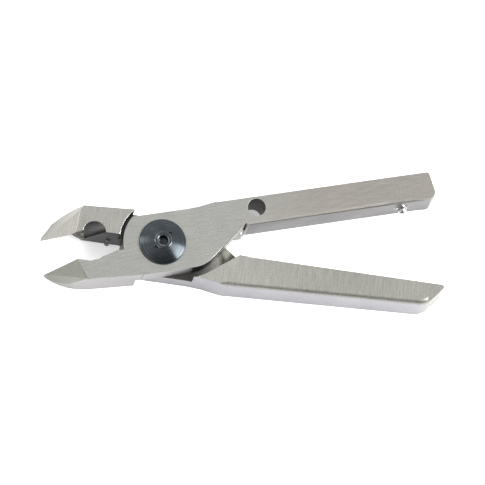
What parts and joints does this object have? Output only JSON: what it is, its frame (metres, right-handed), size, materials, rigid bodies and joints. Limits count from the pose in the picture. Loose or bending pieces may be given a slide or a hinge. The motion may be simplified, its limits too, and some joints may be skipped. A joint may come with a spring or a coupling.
{
  "type": "cutting nippers",
  "caption": "Small lap-joint cutting nippers with bare steel handles, an oblique cutting head and a domed black pivot screw, shown open.",
  "frame": {"origin": "on the pivot axis, in the plane of the levers' back faces", "axes": "+X from the jaws towards the handles along the centre line between them, +Y towards the front lever's handle, +Z from the back faces to the domed screw head"},
  "size_m": [0.1083, 0.0374, 0.0119],
  "materials": {
    "lever_steel": "satin, bead blasted and ground",
    "black_steel": "gloss black oxide, turned",
    "spring_steel": "satin",
    "bright_steel": "bright"
  },
  "bodies": {
    "rear": {"rear_lever": "lever_steel", "pivot_screw": "black_steel", "disc_spring": "spring_steel", "pivot_nut": "black_steel"},
    "front": {"front_lever": "lever_steel"},
    "stop": {"stop_screw": "bright_steel"}
  },
  "joints": [
    {"name": "pivot", "type": "hinge", "parent": "rear", "child": "front", "pos_m": [0, 0, 0.005], "axis": [0, 0, -1], "range_deg": [-6, 17]},
    {"name": "stop_adjust", "type": "slide", "parent": "front", "child": "stop", "axis": [0.1478, -0.989, 0], "range_m": [-0.0012, 0]}
  ]
}
